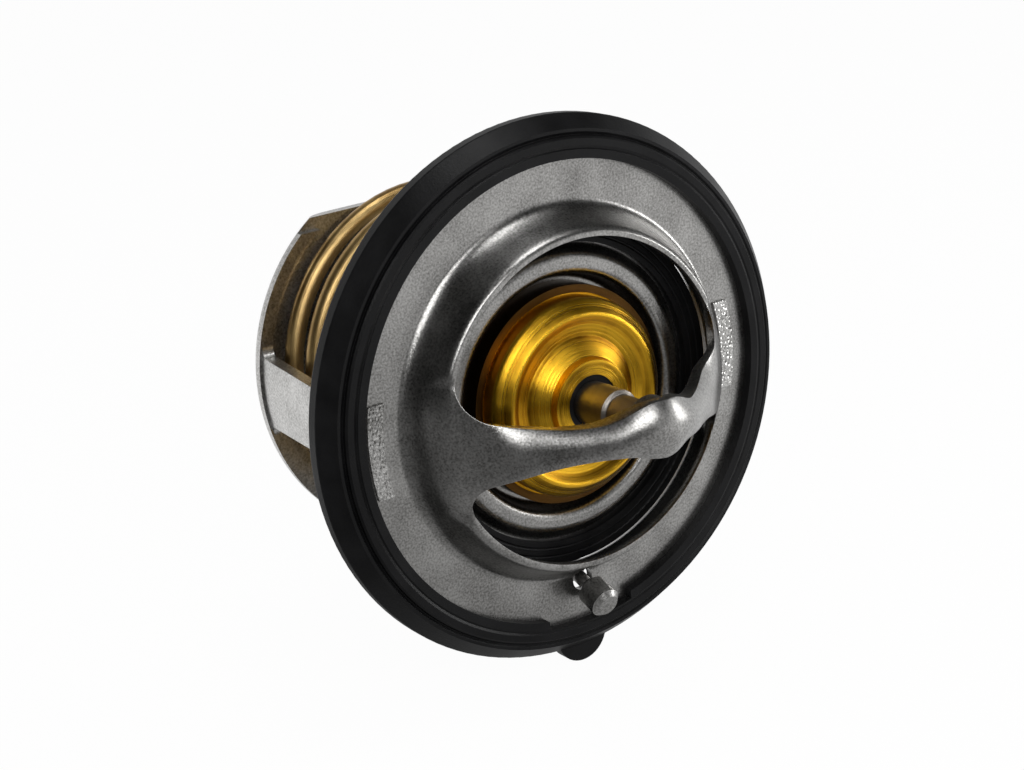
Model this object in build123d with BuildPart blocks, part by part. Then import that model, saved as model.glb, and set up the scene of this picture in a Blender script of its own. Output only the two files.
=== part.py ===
from build123d import *
import math
import os

os.makedirs("parts", exist_ok=True)

# Engine thermostat with a drawn bridge, a rubber flange gasket and a wax element.
# Lengths are in millimetres and angles in degrees. The valve axis is Y and the front faces -Y.
# The bridge runs along X, and the jiggle pin that bleeds the air lies towards -Z.
# Heights are measured from the front face of the flange and are positive to the front.

# Flange and bridge stamping
sheet = 1.0
collar_r = 20.4
collar_lean = 22.5
collar_root = 1.3
rim_h = 4.6
window_r = 17.75
strap_slope = 41.5
strap_crown_h = 18.4
strap_crown_r = 2.6
strap_bend = 4.0
strap_crown = 4.0
strap_proud = 0.03
# Arch of the strap: its +Z and its -Z edge lie this far from the middle and this far below the crest
strap_upper = 6.4
strap_upper_drop = 1.3
strap_lower = 7.6
strap_lower_drop = 0.95
# Windows pierced beside the strap leave it with these edges, across by along, from the foot to the crown
strap_upper_edge = (
    (19.00, 4.70),
    (16.20, 3.20),
    (14.40, 2.12),
    (11.70, 1.32),
    (8.25, 0.98),
    (5.90, 1.15),
    (4.30, 1.70),
    (3.00, 2.50),
    (1.50, 3.00),
)
strap_lower_edge = (
    (19.00, 7.20),
    (16.40, 5.60),
    (14.20, 4.31),
    (11.40, 3.30),
    (8.55, 2.64),
    (5.75, 2.25),
    (3.50, 2.40),
    (1.50, 2.95),
)
window_corner = 2.0
boss_r = 2.95
boss_skirt_h = 14.3
boss_wall = 0.8
boss_roof = 1.2

# Jiggle pin and its hole
bleed_at = 21.7
bleed_r = 1.45
jiggle_lean = 21.0
weight_r = 1.75
weight_len = 3.5
weight_gap = 0.55
weight_chamfer = 0.5
weight_bore_len = 2.4
shank_r = 0.75
disc_r = 1.6
disc_len = 0.6

# Gasket round the edge of the flange
gasket_gap = 0.9
gasket_grip = 2.6
gasket_wall = 2.0
gasket_front = 1.1
gasket_rear = 1.65
gasket_shoulder = 2.2
gasket_face = 2.5
gasket_round = 0.35
ear_r = 3.3
ear_out = 2.0
ear_drop = 1.1
notch_depth = 0.9
notch_half = 5.6

# Rear frame stamping
frame_sheet = 1.3
frame_rear_h = -29.7
frame_rim_r = 22.4
frame_rim_len = 2.2
frame_bend = 1.6
frame_flat = 18.2
frame_rim_span = 16.8
leg_foot_r = 22.1
leg_head_r = 23.8
leg_offset = 0.7
leg_foot_half = 4.1
leg_waist_half = 3.75
leg_waist_h = -8.0
leg_shoulder_half = 5.75
leg_shoulder_len = 3.0
leg_corner = 1.2
tab_half = 4.8
stake_rise = 0.3
stake_spread = 0.25
guide_len = 3.4

# Piston pin
pin_r = 2.4
pin_tip_r = 2.0
pin_shoulder_h = 9.8
pin_shoulder_len = 0.3
pin_inner_h = -16.0

# Wax element
cup_r = 7.5
cup_wall = 1.0
cup_flange_r = 12.0
cup_rear_h = -37.0
cup_corner = 1.8
crimp = 0.4
crimp_lip = 0.45
guide_front_h = 0.3
guide_len_in_cup = 3.6
guide_flange = 1.7
nose_r = 10.9
nose_wall_h = 2.3
ridge_r = 9.3
ridge_h = 3.8
groove_r = 8.2
groove_h = 3.0
dish_outer_r = 6.9
dish_outer_h = 2.7
dish_inner_r = 4.9
dish_inner_h = 4.2
hub_r = 4.7
hub_h = 5.0
hub_seal_r = 3.1
hub_seal_len = 1.0
hub_seal_drop = 0.2
washer_len = 0.8
sleeve_r = 4.2
sleeve_flange = 1.0
sleeve_end = 1.6

# Valve plate and its seal
plate_sheet = 0.8
well_r = 12.7
well_corner = 0.5
bead_r = 13.2
bead_h = 0.5
bead_outer_r = 15.2
bead_foot_r = 16.2
bead_round = 1.0
plate_h = -0.8
plate_r = 18.9
seal_len = 1.0
seal_inner_r = 16.5
seal_edge = 0.25
seal_wrap = 0.5
seal_groove_r = 0.2
seal_groove_at = (17.3, 18.2)

# Main spring, wider at the rear
wire = 2.1
spring_rear_r = 19.05
spring_front_r = 18.0
spring_turns = 5.75
spring_grind = 0.5

# Fits
run = 0.05
slide = 0.1
loose = 0.3
touch = 0.02

# Section with the radius across and the height up, plan seen from the front, side view of the legs
section = Plane(origin=(0, 0, 0), x_dir=(1, 0, 0), z_dir=(0, 0, -1))
plan = Plane.XZ
side = Plane(origin=(0, 0, 0), x_dir=(0, 0, 1), z_dir=(1, 0, 0))

# Corners of the crest line, where the collar wall meets the strap
lean_tan = math.tan(math.radians(collar_lean))
slope_tan = math.tan(math.radians(strap_slope))
bend_h = (strap_crown_h - slope_tan * (collar_r - strap_crown_r)) / (1 - slope_tan * lean_tan)
bend_r = collar_r - bend_h * lean_tan + strap_proud
foot_h = rim_h - 2 * sheet
foot_r = collar_r - foot_h * lean_tan + strap_proud

# Heights and radii that the pieces share
gasket_lip_r = leg_head_r + leg_offset + gasket_gap
flange_r = gasket_lip_r + gasket_grip
gasket_r = flange_r + gasket_wall
ear_at = gasket_r + ear_out - ear_r
notch_r = gasket_lip_r + notch_depth
pocket_r = boss_r - boss_wall
pocket_h = strap_crown_h - boss_roof
frame_front_h = frame_rear_h + frame_sheet
frame_rim_h = frame_rear_h + frame_rim_len
leg_slot_len = frame_sheet + 3 * slide
leg_heads = (-leg_head_r - leg_offset, leg_head_r - leg_offset)
guide_r = cup_r + slide
guide_seat_h = guide_front_h - guide_flange
stem_h = guide_seat_h - guide_len_in_cup
washer_h = stem_h - washer_len
sleeve_seat_h = washer_h - sleeve_flange
sleeve_rear_h = pin_inner_h - sleeve_end
well_h = guide_seat_h - cup_wall
bore_r = pin_r + run
chamber_r = cup_r - cup_wall
guide_flange_r = cup_flange_r - crimp - run
lip_inner_r = cup_flange_r - crimp - crimp_lip
seal_r = plate_r + seal_edge
spring_rear_h = frame_front_h
spring_front_h = plate_h - plate_sheet

# Crest line of the strap, from wall to wall over the crown
with BuildLine(section) as crest:
    FilletPolyline(
        (-foot_r, foot_h),
        (-bend_r, bend_h),
        (-strap_crown_r, strap_crown_h),
        (strap_crown_r, strap_crown_h),
        (bend_r, bend_h),
        (foot_r, foot_h),
        radius=(strap_bend, strap_crown, strap_crown, strap_bend),
    )
crest_wire = crest.wires()[0]
strap_foot = Plane(origin=crest_wire @ 0, x_dir=(0, 0, 1), z_dir=crest_wire % 0)

# Strap, an arched sheet that grows out of the collar wall at both ends
with BuildPart() as strap:
    with BuildSketch(strap_foot):
        with BuildLine():
            ThreePointArc(
                (strap_upper, -strap_upper_drop),
                (0, 0),
                (-strap_lower, -strap_lower_drop),
            )
            offset(amount=sheet, side=Side.LEFT)
        make_face()
    sweep(path=crest_wire)

# Flange, collar and bridge drawn from one sheet
with BuildPart() as flange_bridge:
    with BuildSketch(section):
        with BuildLine():
            FilletPolyline(
                (collar_r - 2 * rim_h * lean_tan, 2 * rim_h),
                (collar_r, 0),
                (flange_r, 0),
                radius=collar_root,
            )
            offset(amount=sheet, side=Side.RIGHT)
        make_face()
    revolve(axis=Axis.Y)
    with BuildSketch(plan.offset(rim_h)):
        Circle(flange_r)
    extrude(amount=2 * rim_h, mode=Mode.SUBTRACT)
    add(strap.part)
    # Windows pierced on both sides of the strap
    for side_edge, way in ((strap_upper_edge, 1), (strap_lower_edge, -1)):
        with BuildSketch(plan.offset(-2 * sheet)):
            with BuildLine():
                strap_line = Spline(
                    [(-along, way * across) for along, across in side_edge]
                    + [(along, way * across) for along, across in reversed(side_edge)]
                )
                Polyline(
                    strap_line @ 0,
                    (-flange_r, way * flange_r),
                    (flange_r, way * flange_r),
                    strap_line @ 1,
                )
            make_face()
            Circle(window_r, mode=Mode.INTERSECT)
            fillet(vertices(), window_corner)
        extrude(amount=2 * strap_crown_h, mode=Mode.SUBTRACT)
    # Skirt and pocket of the boss, for the end of the piston pin
    with BuildSketch(plan.offset(boss_skirt_h)):
        Circle(boss_r)
    extrude(amount=strap_crown_h - sheet - boss_skirt_h)
    with BuildSketch(plan.offset(boss_skirt_h)):
        Circle(pocket_r)
    extrude(amount=pocket_h - boss_skirt_h, mode=Mode.SUBTRACT)
    # Slots for the tabs of the rear frame
    for head_r in leg_heads:
        with BuildSketch(plan.offset(-2 * sheet)):
            Circle(abs(head_r) + slide)
            Circle(abs(head_r) + slide - leg_slot_len, mode=Mode.SUBTRACT)
            with Locations((head_r, 0)):
                Rectangle(flange_r, 2 * (tab_half + run), mode=Mode.INTERSECT)
        extrude(amount=3 * sheet, mode=Mode.SUBTRACT)
    # Hole for the jiggle pin
    with BuildSketch(plan.offset(-2 * sheet)):
        with Locations((0, -bleed_at)):
            Circle(bleed_r)
    extrude(amount=4 * sheet, mode=Mode.SUBTRACT)

# Rubber gasket that grips the edge of the flange, with an ear at the jiggle pin
with BuildPart() as gasket:
    with BuildSketch(section):
        with BuildLine():
            Polyline(
                (gasket_lip_r, 0),
                (gasket_lip_r, gasket_front),
                (gasket_r - gasket_face, gasket_front),
                (gasket_r - gasket_face + gasket_round, gasket_front - gasket_round),
                (gasket_r - gasket_shoulder + 2 * gasket_round, gasket_front - gasket_round),
                (gasket_r, gasket_front - gasket_shoulder),
                (gasket_r, -sheet - gasket_rear),
                (gasket_lip_r, -sheet - gasket_rear),
                (gasket_lip_r, -sheet),
                (flange_r, -sheet),
                (flange_r, 0),
                close=True,
            )
        make_face()
        fillet(vertices().sort_by_distance((gasket_r, gasket_front - gasket_shoulder))[0], gasket_round)
        fillet(vertices().sort_by_distance((gasket_r, -sheet - gasket_rear))[0], gasket_round)
    revolve(axis=Axis.Y)
    with BuildSketch(plan.offset(-sheet - gasket_rear)):
        with Locations((0, -ear_at)):
            Circle(ear_r)
        Circle(flange_r, mode=Mode.SUBTRACT)
    extrude(amount=sheet + gasket_rear - ear_drop)
    with BuildSketch(plan):
        with Locations((0, -gasket_lip_r)):
            Rectangle(2 * notch_half, 2 * notch_half)
        Circle(notch_r, mode=Mode.INTERSECT)
    extrude(amount=2 * gasket_front, mode=Mode.SUBTRACT)

# Rear frame: a dished plate with two legs, staked through the flange
with BuildPart() as rear_frame:
    with BuildSketch(section):
        with BuildLine():
            FilletPolyline(
                (guide_r, frame_rear_h + guide_len),
                (guide_r, frame_rear_h),
                (frame_rim_r, frame_rear_h),
                (frame_rim_r, frame_rim_h),
                radius=frame_bend,
            )
            offset(amount=frame_sheet, side=Side.LEFT)
        make_face()
    revolve(axis=Axis.Y)
    for head_r in leg_heads:
        inward = math.copysign(frame_sheet, -head_r)
        foot_end_r = math.copysign(leg_foot_r, head_r)
        with BuildSketch(side):
            with BuildLine():
                Polyline(
                    (foot_end_r, frame_rim_h),
                    (head_r, -sheet),
                    (head_r, 0),
                    (head_r + inward, 0),
                    (head_r + inward, -sheet),
                    (foot_end_r + inward, frame_rim_h),
                    (foot_end_r + inward, frame_front_h),
                    (foot_end_r, frame_front_h),
                    close=True,
                )
            make_face()
        revolve(axis=Axis.Y, revolution_arc=180)
    with BuildSketch(side):
        with BuildLine():
            Polyline(
                (tab_half, sheet),
                (tab_half, -sheet),
                (leg_shoulder_half, -sheet),
                (leg_shoulder_half, -sheet - leg_shoulder_len),
                (leg_waist_half, leg_waist_h),
                (leg_foot_half, frame_rim_h),
                (frame_rim_span, frame_rim_h),
                (frame_rim_span, frame_front_h),
                (2 * flange_r, frame_front_h),
                (2 * flange_r, sheet),
                close=True,
            )
        make_face()
        fillet(vertices().sort_by_distance((leg_foot_half, frame_rim_h))[0], leg_corner)
        fillet(vertices().sort_by_distance((leg_waist_half, leg_waist_h))[0], 2 * leg_corner)
        mirror(about=Plane.YZ)
    extrude(amount=2 * flange_r, both=True, mode=Mode.SUBTRACT)
    with BuildSketch(plan):
        Rectangle(4 * flange_r, 4 * flange_r)
        Rectangle(4 * flange_r, 2 * frame_flat, mode=Mode.SUBTRACT)
    extrude(amount=2 * frame_rear_h, mode=Mode.SUBTRACT)
    # Tab ends upset over the front of the flange
    for head_r in leg_heads:
        with BuildSketch(plan):
            Circle(abs(head_r) + stake_spread)
            Circle(abs(head_r) - frame_sheet - stake_spread, mode=Mode.SUBTRACT)
            with Locations((head_r, 0)):
                Rectangle(flange_r, 2 * (tab_half + stake_spread), mode=Mode.INTERSECT)
        extrude(amount=stake_rise)

# Steel piston pin, held in the boss
with BuildPart() as piston_pin:
    with BuildSketch(section):
        with BuildLine():
            Polyline(
                (0, pin_inner_h),
                (pin_r, pin_inner_h),
                (pin_r, pin_shoulder_h - pin_shoulder_len),
                (pin_tip_r, pin_shoulder_h),
                (pin_tip_r, pocket_h),
                (0, pocket_h),
                close=True,
            )
        make_face()
        chamfer(vertices().sort_by_distance((pin_r, pin_inner_h))[0], pin_shoulder_len)
        chamfer(vertices().sort_by_distance((pin_tip_r, pocket_h))[0], pin_shoulder_len)
    revolve(axis=Axis.Y)

# Brass guide with its turned nose
with BuildPart() as element_guide:
    with BuildSketch(section):
        with BuildLine():
            Polyline(
                (bore_r, stem_h),
                (chamber_r - run, stem_h),
                (chamber_r - run, guide_seat_h),
                (guide_flange_r, guide_seat_h),
                (guide_flange_r, guide_front_h),
                (nose_r, guide_front_h),
                (nose_r, nose_wall_h),
                (ridge_r, ridge_h),
                (groove_r, groove_h),
                (dish_outer_r, dish_outer_h),
                (dish_inner_r, dish_inner_h),
                (hub_r, hub_h),
                (hub_seal_r, hub_h),
                (hub_seal_r, hub_h - hub_seal_len),
                (bore_r, hub_h - hub_seal_len),
                close=True,
            )
        make_face()
        fillet(vertices().sort_by_distance((nose_r, nose_wall_h))[0], 2 * crimp)
        fillet(vertices().sort_by_distance((ridge_r, ridge_h))[0], crimp)
    revolve(axis=Axis.Y)

# Rubber ring that wipes the piston pin
with BuildPart() as piston_seal:
    with BuildSketch(plan.offset(hub_h - hub_seal_len)):
        Circle(hub_seal_r)
        Circle(bore_r, mode=Mode.SUBTRACT)
    extrude(amount=hub_seal_len - hub_seal_drop)

# Copper cup with its rim crimped over the guide
with BuildPart() as element_cup:
    with BuildSketch(section):
        with BuildLine():
            Polyline(
                (0, cup_rear_h),
                (cup_r, cup_rear_h),
                (cup_r, well_h),
                (cup_flange_r, well_h),
                (cup_flange_r, guide_front_h + crimp),
                (lip_inner_r, guide_front_h + crimp),
                (lip_inner_r, guide_front_h),
                (cup_flange_r - crimp, guide_front_h),
                (cup_flange_r - crimp, guide_seat_h),
                (chamber_r, guide_seat_h),
                (chamber_r, cup_rear_h + cup_wall),
                (0, cup_rear_h + cup_wall),
                close=True,
            )
        make_face()
        fillet(vertices().sort_by_distance((cup_r, cup_rear_h))[0], cup_corner)
        fillet(vertices().sort_by_distance((chamber_r, cup_rear_h + cup_wall))[0], cup_corner - cup_wall)
    revolve(axis=Axis.Y)

# Hard washer that backs the rubber sleeve
with BuildPart() as backup_washer:
    with BuildSketch(plan.offset(washer_h)):
        Circle(chamber_r - run)
        Circle(bore_r, mode=Mode.SUBTRACT)
    extrude(amount=washer_len)

# Rubber sleeve between the pin and the wax
with BuildPart() as rubber_sleeve:
    with BuildSketch(section):
        with BuildLine():
            Polyline(
                (0, sleeve_rear_h),
                (sleeve_r, sleeve_rear_h),
                (sleeve_r, sleeve_seat_h),
                (chamber_r - run, sleeve_seat_h),
                (chamber_r - run, washer_h),
                (bore_r, washer_h),
                (bore_r, pin_inner_h - run),
                (0, pin_inner_h - run),
                close=True,
            )
        make_face()
    revolve(axis=Axis.Y)

# Wax charge that fills the cup round the sleeve
with BuildPart() as wax_charge:
    with BuildSketch(section):
        with BuildLine():
            Polyline(
                (0, cup_rear_h + cup_wall),
                (chamber_r - run, cup_rear_h + cup_wall),
                (chamber_r - run, sleeve_seat_h),
                (sleeve_r + run, sleeve_seat_h),
                (sleeve_r + run, sleeve_rear_h),
                (0, sleeve_rear_h),
                close=True,
            )
        make_face()
        fillet(vertices().sort_by_distance((chamber_r - run, cup_rear_h + cup_wall))[0], cup_corner - cup_wall)
    revolve(axis=Axis.Y)

# Valve plate with its well and stiffening bead
with BuildPart() as valve_plate:
    with BuildSketch(section):
        with BuildLine():
            FilletPolyline(
                (cup_r + loose, well_h),
                (well_r, well_h),
                (bead_r, bead_h),
                (bead_outer_r, bead_h),
                (bead_foot_r, plate_h),
                (plate_r, plate_h),
                radius=(well_corner, bead_round, bead_round, well_corner),
            )
            offset(amount=plate_sheet, side=Side.RIGHT)
        make_face()
    revolve(axis=Axis.Y)

# Rubber seal bonded to the front and the edge of the valve plate
with BuildPart() as valve_seal:
    with BuildSketch(section):
        with BuildLine():
            Polyline(
                (seal_inner_r, plate_h),
                (plate_r, plate_h),
                (plate_r, plate_h - seal_wrap),
                (seal_r, plate_h - seal_wrap),
                (seal_r, plate_h + seal_len),
                (seal_inner_r, plate_h + seal_len),
                close=True,
            )
        make_face()
        for groove_at in seal_groove_at:
            with Locations((groove_at, plate_h + seal_len)):
                Circle(seal_groove_r, mode=Mode.SUBTRACT)
    revolve(axis=Axis.Y)

# Main spring with ground ends
coil_rear_h = spring_rear_h + wire / 2 - spring_grind
coil_front_h = spring_front_h - wire / 2 + spring_grind
coil_len = coil_front_h - coil_rear_h
with BuildPart() as main_spring:
    with BuildLine() as coil:
        Helix(
            pitch=coil_len / spring_turns,
            height=coil_len,
            radius=spring_rear_r,
            center=(0, -coil_rear_h, 0),
            direction=(0, -1, 0),
            cone_angle=-math.degrees(math.atan((spring_rear_r - spring_front_r) / coil_len)),
        )
    with BuildSketch(Plane(origin=coil.line @ 0, z_dir=coil.line % 0)):
        Circle(wire / 2)
    sweep()
    with BuildSketch(plan.offset(spring_rear_h)):
        Circle(flange_r)
    extrude(amount=spring_front_h - spring_rear_h, mode=Mode.INTERSECT)

# Jiggle pin, hanging at a lean in its hole
lean_sin = math.sin(math.radians(jiggle_lean))
lean_cos = math.cos(math.radians(jiggle_lean))
disc_front = -(sheet / 2 + disc_r * lean_sin) / lean_cos - touch
weight_rear = (sheet / 2 + weight_r * lean_sin) / lean_cos + weight_gap
bleed = Plane(origin=(0, sheet / 2, -bleed_at), x_dir=(1, 0, 0), z_dir=(0, -lean_cos, -lean_sin))
with BuildPart() as jiggle_pin:
    with BuildSketch(bleed.offset(disc_front - disc_len)):
        Circle(disc_r)
    extrude(amount=disc_len)
    with BuildSketch(bleed.offset(disc_front)):
        Circle(shank_r)
    extrude(amount=weight_rear + weight_bore_len - disc_front)

# Weight fixed on the front end of the jiggle pin
with BuildPart() as jiggle_weight:
    with BuildSketch(bleed.offset(weight_rear)):
        Circle(weight_r)
    extrude(amount=weight_len)
    chamfer(jiggle_weight.edges(), weight_chamfer)
    with BuildSketch(bleed.offset(weight_rear)):
        Circle(shank_r)
    extrude(amount=weight_bore_len, mode=Mode.SUBTRACT)

pieces = {
    "flange_bridge": flange_bridge,
    "gasket": gasket,
    "rear_frame": rear_frame,
    "piston_pin": piston_pin,
    "element_guide": element_guide,
    "piston_seal": piston_seal,
    "element_cup": element_cup,
    "backup_washer": backup_washer,
    "rubber_sleeve": rubber_sleeve,
    "wax_charge": wax_charge,
    "valve_plate": valve_plate,
    "valve_seal": valve_seal,
    "main_spring": main_spring,
    "jiggle_pin": jiggle_pin,
    "jiggle_weight": jiggle_weight,
}
for name, piece in pieces.items():
    piece.part.label = name
    export_step(piece.part, f"parts/{name}.step")
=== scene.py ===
import math

import bmesh
import bpy
from mathutils import Matrix, Vector


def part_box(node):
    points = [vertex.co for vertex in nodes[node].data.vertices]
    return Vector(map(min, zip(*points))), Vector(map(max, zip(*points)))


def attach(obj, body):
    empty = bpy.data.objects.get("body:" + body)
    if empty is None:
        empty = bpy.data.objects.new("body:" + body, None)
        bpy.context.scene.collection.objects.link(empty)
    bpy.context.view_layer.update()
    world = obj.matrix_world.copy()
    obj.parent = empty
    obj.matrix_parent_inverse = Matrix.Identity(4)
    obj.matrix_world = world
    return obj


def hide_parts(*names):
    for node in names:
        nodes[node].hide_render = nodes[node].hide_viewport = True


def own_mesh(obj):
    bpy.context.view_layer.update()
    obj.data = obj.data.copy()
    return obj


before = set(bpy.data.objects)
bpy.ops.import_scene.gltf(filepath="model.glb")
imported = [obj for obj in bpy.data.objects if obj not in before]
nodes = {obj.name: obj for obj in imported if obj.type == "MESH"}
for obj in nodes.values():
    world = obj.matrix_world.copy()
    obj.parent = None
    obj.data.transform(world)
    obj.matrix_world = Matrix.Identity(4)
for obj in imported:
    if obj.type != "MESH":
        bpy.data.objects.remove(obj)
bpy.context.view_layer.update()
mm = 0.001

# Engine thermostat. The valve axis is Y, the front faces -Y, and Z points away from the jiggle pin.
# Sizes in the dictionaries are in mm and degrees.


def toLinear(hexColour):
    # sRGB hex to the linear colour that the shader wants
    parts = [int(hexColour[i:i + 2], 16) / 255 for i in (1, 3, 5)]
    return [c / 12.92 if c <= 0.04045 else ((c + 0.055) / 1.055) ** 2.4 for c in parts] + [1.0]


def addNode(tree, kind, values=None, **settings):
    # one node with its settings, and each input linked to a socket or set to a value
    node = tree.nodes.new(kind)
    for key, value in settings.items():
        setattr(node, key, value)
    for key, value in (values or {}).items():
        if isinstance(value, bpy.types.NodeSocket):
            tree.links.new(value, node.inputs[key])
        else:
            node.inputs[key].default_value = value
    return node


def newMaterial(name, values):
    material = bpy.data.materials.new(name)
    material.use_nodes = True
    tree = material.node_tree
    shader = tree.nodes["Principled BSDF"]
    for key, value in values.items():
        shader.inputs[key].default_value = value
    return material, tree, shader


def linkSurface(tree, shader, colour, rough, bump):
    tree.links.new(colour.outputs["Color"], shader.inputs["Base Color"])
    tree.links.new(rough.outputs["Result"], shader.inputs["Roughness"])
    tree.links.new(bump.outputs["Normal"], shader.inputs["Normal"])


def fillRamp(node, stops):
    # stops are (place, colour) pairs
    ramp = node.color_ramp
    while len(ramp.elements) < len(stops):
        ramp.elements.new(0.5)
    for element, (place, colour) in zip(ramp.elements, stops):
        element.position = place
        element.color = colour
    return node


def radiusOf(tree, place):
    # distance from the valve axis, so that a pattern can follow the turning or spinning
    split = addNode(tree, "ShaderNodeSeparateXYZ", {0: place})
    flat = addNode(tree, "ShaderNodeCombineXYZ", {"X": split.outputs["X"], "Z": split.outputs["Z"]})
    return addNode(tree, "ShaderNodeVectorMath", {0: flat.outputs[0]}, operation="LENGTH").outputs["Value"]


print("materials")

# darkAt, colourAt and wornAt are the places of the colours along the noise
steelLook = {
    "colour": "#ABAAA8", "colourAt": 1.0, "dark": "#6A6967", "darkAt": 0.55,
    "grain": 0.24, "patches": 5.0, "patchShare": 0.6, "peel": 0.014, "roughness": 0.3, "roughSpread": 0.08,
}
stakeLook = {
    **steelLook, "colour": "#D2D1CF", "dark": "#8C8B88",
    "knurl": 0.4, "knurlDepth": 0.14, "knurlFrom": -0.05,
}


def pressedSteel(name, look):
    # Cold-rolled stainless sheet, 2B finish, drawn in a press: a soft satin with fine orange peel and die marks
    material, tree, shader = newMaterial(name, {"Metallic": 1.0})
    place = addNode(tree, "ShaderNodeTexCoord").outputs["Object"]
    patches = addNode(tree, "ShaderNodeTexNoise", {
        "Vector": place, "Scale": 1 / (look["patches"] * mm), "Detail": 4.0})
    grain = addNode(tree, "ShaderNodeTexNoise", {"Vector": place, "Scale": 1 / (look["grain"] * mm), "Detail": 3.0})
    cloudy = addNode(tree, "ShaderNodeMath", {
        0: patches.outputs["Fac"], 1: look["patchShare"], 2: grain.outputs["Fac"]}, operation="MULTIPLY_ADD")
    colour = fillRamp(addNode(tree, "ShaderNodeValToRGB", {"Fac": cloudy.outputs[0]}), [
        (look["darkAt"], toLinear(look["dark"])), (look["colourAt"], toLinear(look["colour"]))])
    rough = addNode(tree, "ShaderNodeMapRange", {
        "Value": patches.outputs["Fac"],
        "To Min": look["roughness"] - look["roughSpread"], "To Max": look["roughness"] + look["roughSpread"]})
    bump = addNode(tree, "ShaderNodeBump", {
        "Height": grain.outputs["Fac"], "Strength": 1.0, "Distance": look["peel"] * mm})
    if "knurl" in look:
        # the upset ends of the tabs, in front of the flange, carry the dimples of the staking punch
        split = addNode(tree, "ShaderNodeSeparateXYZ", {0: place})
        front = addNode(tree, "ShaderNodeMath", {
            0: split.outputs["Y"], 1: look["knurlFrom"] * mm}, operation="LESS_THAN")
        cells = addNode(tree, "ShaderNodeTexVoronoi", {"Vector": place, "Scale": 1 / (look["knurl"] * mm)})
        height = addNode(tree, "ShaderNodeMath", {
            0: cells.outputs["Distance"], 1: front.outputs[0]}, operation="MULTIPLY")
        bump = addNode(tree, "ShaderNodeBump", {
            "Height": height.outputs[0], "Normal": bump.outputs["Normal"],
            "Strength": 1.0, "Distance": look["knurlDepth"] * mm})
    linkSurface(tree, shader, colour, rough, bump)
    return material


rubberLook = {
    "colour": "#0B0B0C", "colourAt": 0.35, "worn": "#141415", "wornAt": 0.75, "specular": 0.15,
    "patches": 4.0, "grain": 0.3, "peel": 0.05, "roughness": 0.4, "smoother": 0.1, "duller": 0.12,
}
gasketLook = {
    **rubberLook, "grooves": (25.4, 30.0), "grooveDepth": 0.4,
    # share of the way across the grooved band, and the height there
    "grooveProfile": ((0, 0.7), (0.2, 1), (0.24, 0.5), (0.3, 0.9), (0.5, 1), (0.54, 0.3), (0.6, 0.9), (1, 0.8)),
}


def mouldedSurface(name, look):
    # Nitrile rubber, the washer or the filling, from a mould: dull, with a soft shine on its rounds and a fine grain
    material, tree, shader = newMaterial(name, {"Specular IOR Level": look["specular"]})
    place = addNode(tree, "ShaderNodeTexCoord").outputs["Object"]
    patches = addNode(tree, "ShaderNodeTexNoise", {
        "Vector": place, "Scale": 1 / (look["patches"] * mm), "Detail": 4.0})
    grain = addNode(tree, "ShaderNodeTexNoise", {"Vector": place, "Scale": 1 / (look["grain"] * mm), "Detail": 3.0})
    colour = fillRamp(addNode(tree, "ShaderNodeValToRGB", {"Fac": patches.outputs["Fac"]}), [
        (look["colourAt"], toLinear(look["colour"])), (look["wornAt"], toLinear(look["worn"]))])
    rough = addNode(tree, "ShaderNodeMapRange", {
        "Value": patches.outputs["Fac"],
        "To Min": look["roughness"] - look["smoother"], "To Max": look["roughness"] + look["duller"]})
    bump = addNode(tree, "ShaderNodeBump", {
        "Height": grain.outputs["Fac"], "Strength": 0.35, "Distance": look["peel"] * mm})
    if "grooves" in look:
        # the mould's parting lines run round the lip
        inner, outer = look["grooves"]
        reach = addNode(tree, "ShaderNodeMapRange", {
            "Value": radiusOf(tree, place), "From Min": inner * mm, "From Max": outer * mm})
        profile = fillRamp(addNode(tree, "ShaderNodeValToRGB", {"Fac": reach.outputs["Result"]}), [
            (share, (height, height, height, 1)) for share, height in look["grooveProfile"]])
        bump = addNode(tree, "ShaderNodeBump", {
            "Height": profile.outputs["Color"], "Normal": bump.outputs["Normal"],
            "Strength": 1.0, "Distance": look["grooveDepth"] * mm})
    linkSurface(tree, shader, colour, rough, bump)
    return material


turnedLook = {
    "darkAt": 0.45, "colourAt": 0.8, "broad": 1.2, "stain": 3.0, "stainShare": 0.5,
    "grooveDepth": 0.05, "smoother": 0.06, "duller": 0.12,
}
brassLook = {**turnedLook, "colour": "#DCAA2C", "dark": "#6E4508", "groove": 0.28, "roughness": 0.26}
pinLook = {**turnedLook, "colour": "#938D86", "dark": "#5C5650", "groove": 0.2, "roughness": 0.32}
# the copper's dark brown is partly its own crimped copper and partly painted shade of the recess it sits in
copperAndShadeLook = {**turnedLook, "colour": "#4E3618", "dark": "#20160A", "groove": 0.4, "roughness": 0.3}
wireLook = {**turnedLook, "colour": "#DCBC80", "dark": "#8A6C40", "groove": 0.5, "roughness": 0.34}


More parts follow.
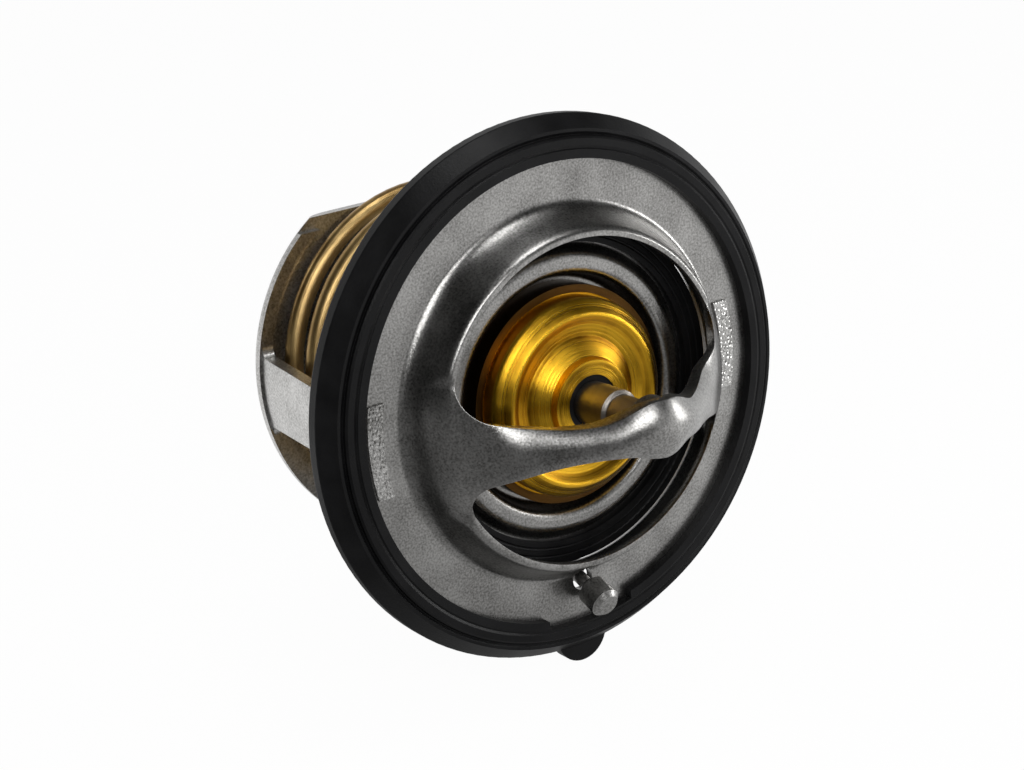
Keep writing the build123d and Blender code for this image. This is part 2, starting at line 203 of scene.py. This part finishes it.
def turnedMetal(name, look):
    # Turned on a lathe: bright, with fine rings round the axis from the tool's feed
    material, tree, shader = newMaterial(name, {"Metallic": 1.0})
    place = addNode(tree, "ShaderNodeTexCoord").outputs["Object"]
    radius = radiusOf(tree, place)
    rings = addNode(tree, "ShaderNodeTexNoise", {
        "W": radius, "Scale": 1 / (look["groove"] * mm), "Detail": 4.0, "Roughness": 0.8}, noise_dimensions="1D")
    broad = addNode(tree, "ShaderNodeTexNoise", {
        "W": radius, "Scale": 1 / (look["broad"] * mm)}, noise_dimensions="1D")
    stain = addNode(tree, "ShaderNodeTexNoise", {"Vector": place, "Scale": 1 / (look["stain"] * mm), "Detail": 4.0})
    mixed = addNode(tree, "ShaderNodeMath", {
        0: stain.outputs["Fac"], 1: look["stainShare"], 2: broad.outputs["Fac"]}, operation="MULTIPLY_ADD")
    colour = fillRamp(addNode(tree, "ShaderNodeValToRGB", {"Fac": mixed.outputs[0]}), [
        (look["darkAt"], toLinear(look["dark"])), (look["colourAt"], toLinear(look["colour"]))])
    rough = addNode(tree, "ShaderNodeMapRange", {
        "Value": rings.outputs["Fac"],
        "To Min": look["roughness"] - look["smoother"], "To Max": look["roughness"] + look["duller"]})
    bump = addNode(tree, "ShaderNodeBump", {
        "Height": rings.outputs["Fac"], "Strength": 1.0, "Distance": look["grooveDepth"] * mm})
    linkSurface(tree, shader, colour, rough, bump)
    return material


stainless = pressedSteel("stainless_2b_pressed", steelLook)
rubber = mouldedSurface("nitrile_rubber_moulded", rubberLook)
gasketRubber = mouldedSurface("nitrile_rubber_gasket", gasketLook)
brass = turnedMetal("brass_turned", brassLook)
stakedSteel = pressedSteel("stainless_2b_staked", stakeLook)
pinSteel = turnedMetal("steel_ground", pinLook)
copper = turnedMetal("copper_crimped_and_painted_shade", copperAndShadeLook)
springSteel = turnedMetal("spring_wire_tempered", wireLook)
polymer = mouldedSurface("ptfe_washer", {**rubberLook, "colour": "#D8D6CE", "worn": "#C4C2BA", "roughness": 0.5})
wax = mouldedSurface("wax_and_copper_powder", {
    **rubberLook, "colour": "#9A6A48", "worn": "#7C4E30", "roughness": 0.6})

finishes = {
    "flange_bridge": stainless, "gasket": gasketRubber, "rear_frame": stakedSteel, "piston_pin": pinSteel,
    "element_guide": brass, "piston_seal": rubber, "element_cup": copper, "backup_washer": polymer,
    "rubber_sleeve": rubber, "wax_charge": wax, "valve_plate": stainless, "valve_seal": rubber,
    "main_spring": springSteel, "jiggle_pin": stainless, "jiggle_weight": stainless,
}
for nodeName, material in finishes.items():
    for materialSlot in nodes[nodeName].material_slots:
        materialSlot.material = material


def newPiece(name, bm, material):
    mesh = bpy.data.meshes.new(name)
    bm.to_mesh(mesh)
    bm.free()
    mesh.shade_smooth()
    mesh.materials.append(material)
    piece = bpy.data.objects.new(name, mesh)
    bpy.context.scene.collection.objects.link(piece)
    return piece


def softMin(a, b, blend):
    # the lower of two heights, with a rounded corner between them
    share = max(blend - abs(a - b), 0) / blend
    return min(a, b) - share * share * blend / 4


def smoothStep(value, low, high):
    share = min(max((value - low) / (high - low), 0), 1)
    return share * share * (3 - 2 * share)


def alongCurve(points, place):
    # value at place on a smooth line through (place, value) points that rise in place
    index = max(i for i in range(len(points) - 1) if points[i][0] <= place or i == 0)
    x0, y0 = points[max(index - 1, 0)]
    x1, y1 = points[index]
    x2, y2 = points[index + 1]
    x3, y3 = points[min(index + 2, len(points) - 1)]
    step = x2 - x1
    share = min(max((place - x1) / step, 0), 1)
    slopeIn, slopeOut = (y2 - y0) / (x2 - x0) * step, (y3 - y1) / (x3 - x1) * step
    return ((2 * share ** 3 - 3 * share ** 2 + 1) * y1 + (share ** 3 - 2 * share ** 2 + share) * slopeIn
            + (3 * share ** 2 - 2 * share ** 3) * y2 + (share ** 3 - share ** 2) * slopeOut)


print("flange and bridge")

stampLook = {
    # flange, collar and the window in the middle
    "flange": 28.0, "sheet": 1.0, "collar": 20.4, "lean": 22.5, "rootBlend": 2.2,
    "window": 17.75, "rim": 4.62, "rimBlend": 0.9, "rimBand": (16.9, 17.7),
    "flangeStep": 0.4, "flangeRings": 17, "wall": 21.4, "wallStep": 0.1, "wallRings": 35, "turnSteps": 360,
    # strap: upper and lower edge, each as along and across, from the boss to the corners of the windows
    "edges": ((0, 3.05, 0, -3.05), (1.5, 2.95, 1.5, -2.85), (3.0, 2.4, 3.2, -2.42), (4.3, 1.75, 4.5, -2.25),
              (5.9, 1.2, 6.0, -2.2), (8.25, 1.0, 8.4, -2.58), (10.4, 1.2, 10.4, -3.05), (12.2, 1.5, 12.2, -3.6),
              (13.2, 1.78, 13.2, -3.95), (14.1, 2.05, 14.2, -4.33), (14.95, 2.41, 14.9, -4.63),
              (15.65, 2.95, 15.42, -5.03), (16.21, 3.67, 15.82, -5.55), (16.56, 4.51, 16.06, -6.15),
              (16.68, 5.42, 16.15, -6.8), (16.6, 6.08, 16.02, -7.4), (16.457, 6.649, 15.815, -8.058)),
    "outward": 15, "edgeSteps": 8, "rootAngles": (-27, 22), "rootSoft": (4, 3),
    "slope": 41.5, "crown": 18.42, "crownHalf": 2.6, "crownBlend": 3.0, "crownRound": 0.6,
    "bulge": 0.75, "tilt": 0.25, "bossBulge": 1.1, "armBand": (3.0, 6.5),
    "footBend": 31.0, "footBand": (11.5, 16.0), "footBlend": 1.6, "pastFoot": 2,
    # cut edges, holes and the skirt of the boss as outer and inner radius, low and high end
    "merge": 0.006, "flattest": 0.36, "cutAngle": 50, "edgeRound": 0.13, "smoothAngle": 35, "punchDepth": 6,
    "hole": (21.7, 1.3), "slots": ((21.6, 23.2, 1), (23.0, 24.6, -1)), "slotHalf": 4.85, "slotCuts": 15,
    "skirt": (2.95, 2.15, 14.3, 16.4), "skirtSteps": 64,
}


def stampedHeight(look, x, z):
    # height of the sheet's front above the flange, at a place seen along the axis
    radius = math.hypot(x, z)
    wall = (look["collar"] - radius) / math.tan(math.radians(look["lean"]))
    wall = -softMin(-wall, 0, look["rootBlend"])
    along = math.hypot(x, look["crownRound"])
    # only the stations that still lead outward give the width of the arm
    stations = look["edges"][:look["outward"]]
    upper = alongCurve([(edge[0], edge[1]) for edge in stations], along)
    lower = alongCurve([(edge[2], edge[3]) for edge in stations], along)
    middle, half = (upper + lower) / 2, (upper - lower) / 2
    side = (z - middle) / half
    arm = smoothStep(along, *look["armBand"])
    bulge = look["bossBulge"] + (look["bulge"] - look["bossBulge"]) * arm
    armDrop = bulge * side * side + arm * look["tilt"] * (z - middle)
    foot = smoothStep(along, *look["footBand"])
    drop = armDrop * (1 - foot) + z * z / look["footBend"] * foot
    slope = look["crown"] - (along - look["crownHalf"]) * math.tan(math.radians(look["slope"]))
    # past the foot of the collar the arm no longer cuts the flange
    tent = softMin(slope, look["crown"], look["crownBlend"]) - drop
    tent += look["pastFoot"] * max(radius - look["collar"], 0)
    angle = math.degrees(math.atan2(z, along))
    low, high = look["rootAngles"]
    before, after = look["rootSoft"]
    beside = max(smoothStep(angle, high - before, high + after), smoothStep(-angle, -low - before, -low + after))
    beside *= smoothStep(radius, *look["rimBand"])
    cap = tent + (look["rim"] - tent) * beside
    return softMin(wall, cap, look["footBlend"] + (look["rimBlend"] - look["footBlend"]) * beside)


def stampingPlan(look):
    # the stamping seen along the axis, still flat
    bm = bmesh.new()
    radii = [look["flange"] - look["flangeStep"] * index for index in range(look["flangeRings"])]
    radii += [look["wall"] - look["wallStep"] * index for index in range(1, look["wallRings"] + 1)]
    rim = [bm.verts.new((radius * mm, 0, 0)) for radius in radii + [look["window"]]]
    for first, second in zip(rim, rim[1:]):
        bm.edges.new((first, second))
    bmesh.ops.spin(bm, geom=bm.verts[:] + bm.edges[:], cent=(0, 0, 0), axis=(0, 1, 0), angle=math.tau,
                   steps=look["turnSteps"], use_merge=True)
    # strap between the windows: a grid whose ends lie on the window circle
    low, high = look["rootAngles"]
    last = len(look["edges"]) - 1
    lines = [[(index, edge[side]) for index, edge in enumerate(look["edges"])] for side in range(4)]
    endUpperX, endUpperZ, endLowerX, endLowerZ = look["edges"][-1]
    grid = bmesh.ops.create_grid(bm, x_segments=look["edgeSteps"] * last, y_segments=high - low, size=1)["verts"]
    for vert in grid:
        reach, across = abs(vert.co.x), (vert.co.y + 1) / 2
        upperX, upperZ, lowerX, lowerZ = (alongCurve(line, reach * last) for line in lines)
        angle = math.radians(low + (high - low) * across)
        # the rows bend from straight at the boss to the window circle at the ends
        bend = reach ** 3
        bowX = look["window"] * math.cos(angle) - endLowerX - (endUpperX - endLowerX) * across
        bowZ = look["window"] * math.sin(angle) - endLowerZ - (endUpperZ - endLowerZ) * across
        x = lowerX + (upperX - lowerX) * across + bowX * bend
        z = lowerZ + (upperZ - lowerZ) * across + bowZ * bend
        vert.co = (math.copysign(x, vert.co.x) * mm, 0, z * mm)
    bmesh.ops.remove_doubles(bm, verts=bm.verts[:], dist=look["merge"] * mm)
    return bm


def punches(look):
    # what pierces the stamping: the hole of the jiggle pin and the curved slots for the stakes of the rear frame
    bm = bmesh.new()
    holeAt, holeRadius = look["hole"]
    place = Matrix.Translation((0, 0, -holeAt * mm)) @ Matrix.Rotation(math.pi / 2, 4, "X")
    bmesh.ops.create_cone(bm, cap_ends=True, segments=48, radius1=holeRadius * mm, radius2=holeRadius * mm,
                          depth=look["punchDepth"] * mm, matrix=place)
    for inner, outer, side in look["slots"]:
        place = Matrix.Translation((side * (inner + outer) / 2 * mm, 0, 0))
        spread = Matrix.Diagonal(((outer - inner) * mm, look["punchDepth"] * mm, 2 * look["slotHalf"] * mm, 1))
        box = bmesh.ops.create_cube(bm, size=1, matrix=place @ spread)["verts"]
        longEdges = {edge for vert in box for edge in vert.link_edges
                     if abs(edge.verts[0].co.z - edge.verts[1].co.z) > mm}
        bmesh.ops.subdivide_edges(bm, edges=list(longEdges), cuts=look["slotCuts"], use_grid_fill=True)
        # only this slot's box lies that far out on its side
        for vert in bm.verts:
            if vert.co.x * side > inner / 2 * mm:
                vert.co.x = side * math.sqrt(vert.co.x ** 2 - vert.co.z ** 2)
    bmesh.ops.recalc_face_normals(bm, faces=bm.faces[:])
    return newPiece("stampingCutter", bm, stainless)


def drawnStamping(look):
    bm = stampingPlan(look)
    for vert in bm.verts:
        vert.co.y = -stampedHeight(look, vert.co.x / mm, vert.co.z / mm) * mm
    bmesh.ops.recalc_face_normals(bm, faces=bm.faces[:])
    bm.normal_update()
    # the sheet is as thick everywhere, and its cut edges run along the axis, as a piercing punch leaves them
    depth = bm.verts.layers.float.new("depth")
    for vert in bm.verts:
        vert[depth] = look["sheet"] * mm / max(abs(vert.normal.y), look["flattest"])
    for made in bmesh.ops.extrude_face_region(bm, geom=bm.faces[:], use_keep_orig=True)["geom"]:
        if isinstance(made, bmesh.types.BMVert):
            made.co.y += made[depth]
    bmesh.ops.recalc_face_normals(bm, faces=bm.faces[:])
    cutEdges = [edge for edge in bm.edges if edge.calc_face_angle(0) > math.radians(look["cutAngle"])]
    bmesh.ops.bevel(bm, geom=cutEdges, offset=look["edgeRound"] * mm, affect="EDGES", segments=2, profile=0.5,
                    material=-1, clamp_overlap=True)
    stamping = newPiece("flangeStamping", bm, stainless)
    cutter = punches(look)
    pierce = stamping.modifiers.new("pierce", "BOOLEAN")
    pierce.operation, pierce.solver, pierce.object = "DIFFERENCE", "EXACT", cutter
    graph = bpy.context.evaluated_depsgraph_get()
    pierced = bpy.data.meshes.new_from_object(stamping.evaluated_get(graph))
    stamping.modifiers.clear()
    bpy.data.objects.remove(cutter)
    # skirt of the boss round the end of the pin
    bm = bmesh.new()
    bm.from_mesh(pierced)
    sheetFaces = len(bm.faces)
    outer, inner, low, high = look["skirt"]
    ring = [bm.verts.new((radius * mm, -height * mm, 0)) for radius, height in (
        (inner, low), (outer, low), (outer, high), (inner, high))]
    edges = [bm.edges.new((ring[i - 1], ring[i])) for i in range(4)]
    bmesh.ops.spin(bm, geom=ring + edges, cent=(0, 0, 0), axis=(0, 1, 0), angle=math.tau,
                   steps=look["skirtSteps"], use_merge=True)
    bm.faces.ensure_lookup_table()
    bmesh.ops.recalc_face_normals(bm, faces=bm.faces[sheetFaces:])
    bm.to_mesh(stamping.data)
    bm.free()
    stamping.data.set_sharp_from_angle(angle=math.radians(look["smoothAngle"]))
    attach(stamping, "housing_side")
    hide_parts("flange_bridge")


drawnStamping(stampLook)


print("main spring")

springLook = {
    "wire": 2.1, "rearRadius": 19.05, "frontRadius": 18.0, "turns": 5.75, "grind": 0.5, "steps": 72, "sides": 20,
}


def coiledSpring(look):
    # a ring of wire spun round the axis while it moves to the front, its ends ground flat
    low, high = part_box("main_spring")
    rearY, frontY = high.y, low.y
    startY = rearY - (look["wire"] / 2 - look["grind"]) * mm
    endY = frontY + (look["wire"] / 2 - look["grind"]) * mm
    steps = int(look["turns"] * look["steps"])
    bm = bmesh.new()
    place = Matrix.Translation((look["rearRadius"] * mm, startY, 0))
    bmesh.ops.create_circle(bm, cap_ends=False, segments=look["sides"], radius=look["wire"] / 2 * mm, matrix=place)
    bmesh.ops.spin(bm, geom=bm.verts[:] + bm.edges[:], cent=(0, 0, 0), axis=(0, 1, 0),
                   dvec=(0, (endY - startY) / steps, 0), angle=math.radians(-360 * look["turns"]), steps=steps)
    taper = look["frontRadius"] / look["rearRadius"] - 1
    for vert in bm.verts:
        share = (vert.co.y - startY) / (endY - startY)
        vert.co.x *= 1 + taper * share
        vert.co.z *= 1 + taper * share
    for planeY, outward in ((rearY, 1), (frontY, -1)):
        bmesh.ops.bisect_plane(bm, geom=bm.verts[:] + bm.edges[:] + bm.faces[:], plane_co=(0, planeY, 0),
                               plane_no=(0, outward, 0), clear_outer=True)
        bmesh.ops.holes_fill(bm, edges=[edge for edge in bm.edges if edge.is_boundary], sides=0)
    bmesh.ops.recalc_face_normals(bm, faces=bm.faces[:])
    spring = newPiece("mainSpring", bm, springSteel)
    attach(spring, "housing_side")
    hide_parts("main_spring")
    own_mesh(spring)


coiledSpring(springLook)

print("studio")

studioLook = {
    "floor": -32.0, "floorSize": 1200, "paper": "#F2F2F1", "glow": 0.97, "ambient": 0.45,
    # how dark metal sees the room, how dark it sees the painted shade on the floor where a flag would stand, and
    # where that painted shade ends on the floor
    "dark": 0.05, "paintedFloorShade": 0.19, "paintedFlag": (-50, 60), "openFloor": (20, 70),
    # shade of the room by direction: from the left, from above, and open again behind
    "shadeX": (-0.2, 0.75), "shadeZ": (0.2, 0.6), "openY": (0.4, 0.75),
}


def paleFloor(look):
    # white paper: the eye sees it white, and it keeps the object's shadow
    material, tree, shader = newMaterial("white_paper", {"Base Color": toLinear(look["paper"]), "Roughness": 0.9})
    path = addNode(tree, "ShaderNodeLightPath")
    split = addNode(tree, "ShaderNodeSeparateXYZ", {0: addNode(tree, "ShaderNodeTexCoord").outputs["Object"]})
    # the paper glows for metal: white on the right and behind, with a painted shade on the left that stands in for a
    # studio flag
    paintedFlag = addNode(tree, "ShaderNodeMapRange", {
        "Value": split.outputs["X"], "From Min": look["paintedFlag"][0] * mm, "From Max": look["paintedFlag"][1] * mm,
        "To Min": look["paintedFloorShade"], "To Max": 1.0})
    behind = addNode(tree, "ShaderNodeMapRange", {
        "Value": split.outputs["Y"], "From Min": look["openFloor"][0] * mm, "From Max": look["openFloor"][1] * mm})
    lit = addNode(tree, "ShaderNodeMath", {
        0: paintedFlag.outputs["Result"], 1: behind.outputs["Result"]}, operation="MAXIMUM")
    # the eye sees the paper white; reflections see only its painted glow and painted shade
    seen = addNode(tree, "ShaderNodeMath", {
        0: path.outputs["Is Camera Ray"], 1: lit.outputs[0]}, operation="MAXIMUM")
    glow = addNode(tree, "ShaderNodeEmission", {"Strength": seen.outputs[0]})
    direct = addNode(tree, "ShaderNodeMath", {
        0: path.outputs["Is Camera Ray"], 1: look["glow"]}, operation="MULTIPLY")
    share = addNode(tree, "ShaderNodeMath", {
        0: direct.outputs[0], 1: path.outputs["Is Glossy Ray"]}, operation="MAXIMUM")
    pick = addNode(tree, "ShaderNodeMixShader", {0: share.outputs[0], 1: shader.outputs[0], 2: glow.outputs[0]})
    tree.links.new(pick.outputs[0], tree.nodes["Material Output"].inputs["Surface"])
    bm = bmesh.new()
    bmesh.ops.create_grid(bm, x_segments=1, y_segments=1, size=look["floorSize"] * mm,
                          matrix=Matrix.Translation((0, 0, look["floor"] * mm)))
    floor = newPiece("floor", bm, material)


def softWorld(look):
    world = bpy.data.worlds.new("studio")
    bpy.context.scene.world = world
    world.use_nodes = True
    tree = world.node_tree
    tree.nodes.clear()
    direction = addNode(tree, "ShaderNodeTexCoord").outputs["Generated"]
    split = addNode(tree, "ShaderNodeSeparateXYZ", {0: direction})
    # metal sees white on the right and behind, and a dark room on the left and above
    shade = addNode(tree, "ShaderNodeMapRange", {
        "Value": split.outputs["X"], "From Min": look["shadeX"][0], "From Max": look["shadeX"][1],
        "To Min": look["dark"], "To Max": 1.0})
    above = addNode(tree, "ShaderNodeMapRange", {
        "Value": split.outputs["Z"], "From Min": look["shadeZ"][0], "From Max": look["shadeZ"][1],
        "To Min": 1.0, "To Max": look["dark"]})
    behind = addNode(tree, "ShaderNodeMapRange", {
        "Value": split.outputs["Y"], "From Min": look["openY"][0], "From Max": look["openY"][1]})
    front = addNode(tree, "ShaderNodeMath", {
        0: shade.outputs["Result"], 1: above.outputs["Result"]}, operation="MULTIPLY")
    both = addNode(tree, "ShaderNodeMath", {
        0: front.outputs[0], 1: behind.outputs["Result"]}, operation="MAXIMUM")
    path = addNode(tree, "ShaderNodeLightPath")
    white = addNode(tree, "ShaderNodeBackground", {"Color": (1, 1, 1, 1), "Strength": 1.0})
    mirrored = addNode(tree, "ShaderNodeBackground", {"Strength": both.outputs[0]})
    ambient = addNode(tree, "ShaderNodeBackground", {"Strength": look["ambient"]})
    glossy = addNode(tree, "ShaderNodeMixShader", {
        0: path.outputs["Is Glossy Ray"], 1: ambient.outputs[0], 2: mirrored.outputs[0]})
    pick = addNode(tree, "ShaderNodeMixShader", {
        0: path.outputs["Is Camera Ray"], 1: glossy.outputs[0], 2: white.outputs[0]})
    addNode(tree, "ShaderNodeOutputWorld", {"Surface": pick.outputs[0]})


lampLook = {
    "key": {"place": (-140, -330, 210), "size": (300, 160), "power": 0.9},
    "fill": {"place": (360, -160, 35), "size": (90, 200), "power": 0.5},
    "top": {"place": (60, -60, 420), "size": (200, 120), "power": 0.45},
}


def softBoxes(look):
    for name, values in look.items():
        lamp = bpy.data.lights.new(name, "AREA")
        lamp.shape = "RECTANGLE"
        lamp.size, lamp.size_y = (side * mm for side in values["size"])
        lamp.energy = values["power"]
        box = bpy.data.objects.new(name, lamp)
        box.location = Vector(values["place"]) * mm
        box.rotation_euler = (-box.location).to_track_quat("-Z", "Y").to_euler()
        bpy.context.scene.collection.objects.link(box)


cameraLook = {
    "place": (-114.124, -165.945, 67.467), "look": (0.51655, 0.79773, -0.31112),
    "up": (0.25396, 0.20426, 0.94540), "lens": 69.5, "sensor": 36, "clip": (0.01, 10),
}


def photoCamera(look):
    data = bpy.data.cameras.new("camera")
    data.lens, data.sensor_width = look["lens"], look["sensor"]
    data.clip_start, data.clip_end = look["clip"]
    camera = bpy.data.objects.new("camera", data)
    bpy.context.scene.collection.objects.link(camera)
    forward = Vector(look["look"]).normalized()
    right = forward.cross(Vector(look["up"])).normalized()
    turn = Matrix((right, right.cross(forward), -forward)).transposed().to_4x4()
    camera.matrix_world = Matrix.Translation(Vector(look["place"]) * mm) @ turn
    bpy.context.scene.camera = camera


paleFloor(studioLook)
softWorld(studioLook)
softBoxes(lampLook)
photoCamera(cameraLook)
bpy.context.scene.view_settings.view_transform = "Standard"

print("done")
